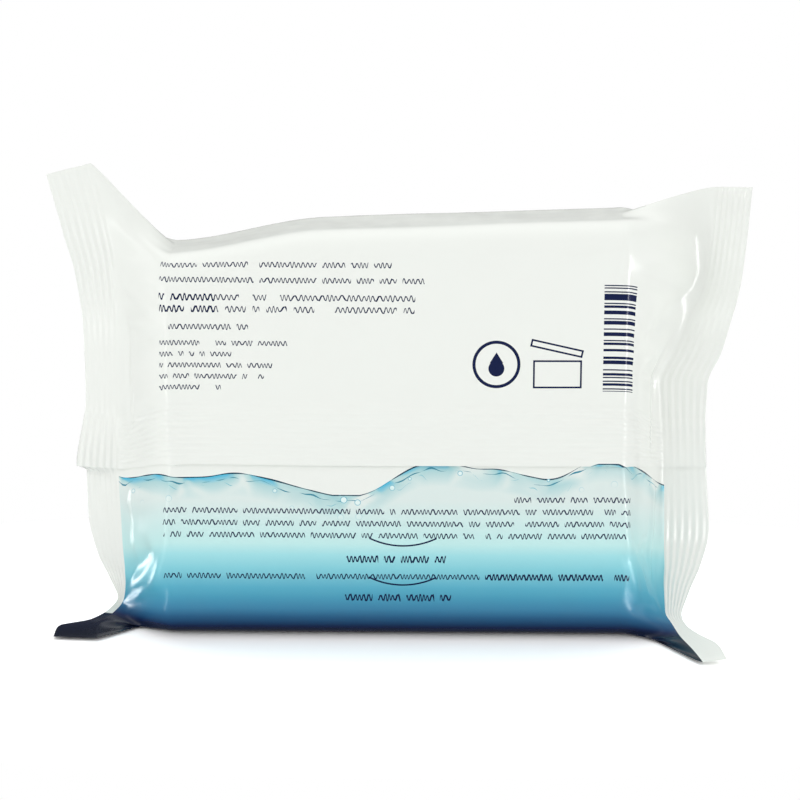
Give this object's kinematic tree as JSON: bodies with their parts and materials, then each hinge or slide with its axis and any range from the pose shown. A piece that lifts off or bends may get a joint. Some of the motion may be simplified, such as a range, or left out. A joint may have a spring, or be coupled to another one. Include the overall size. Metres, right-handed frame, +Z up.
{
  "type": "wet wipes pack",
  "caption": "Sealed flow-wrapped pack of wet wipes standing on its long edge, with crimped end fins, a folded back seal and a peel-back closing flap.",
  "frame": {"origin": "middle of the bounding box at the table: the pack stands on its long edge on z = 0", "axes": "+X along the pack from end seal to end seal, the back with its lap seal faces -Y, the front with the closing flap faces +Y, +Z up"},
  "size_m": [0.186, 0.0601, 0.1254],
  "materials": {
    "film": "printed glossy polyester and polyethylene film",
    "flap": "satin self-adhesive label film"
  },
  "bodies": {
    "root": {"film_pack": "film", "reseal_flap": "flap"}
  },
  "joints": []
}
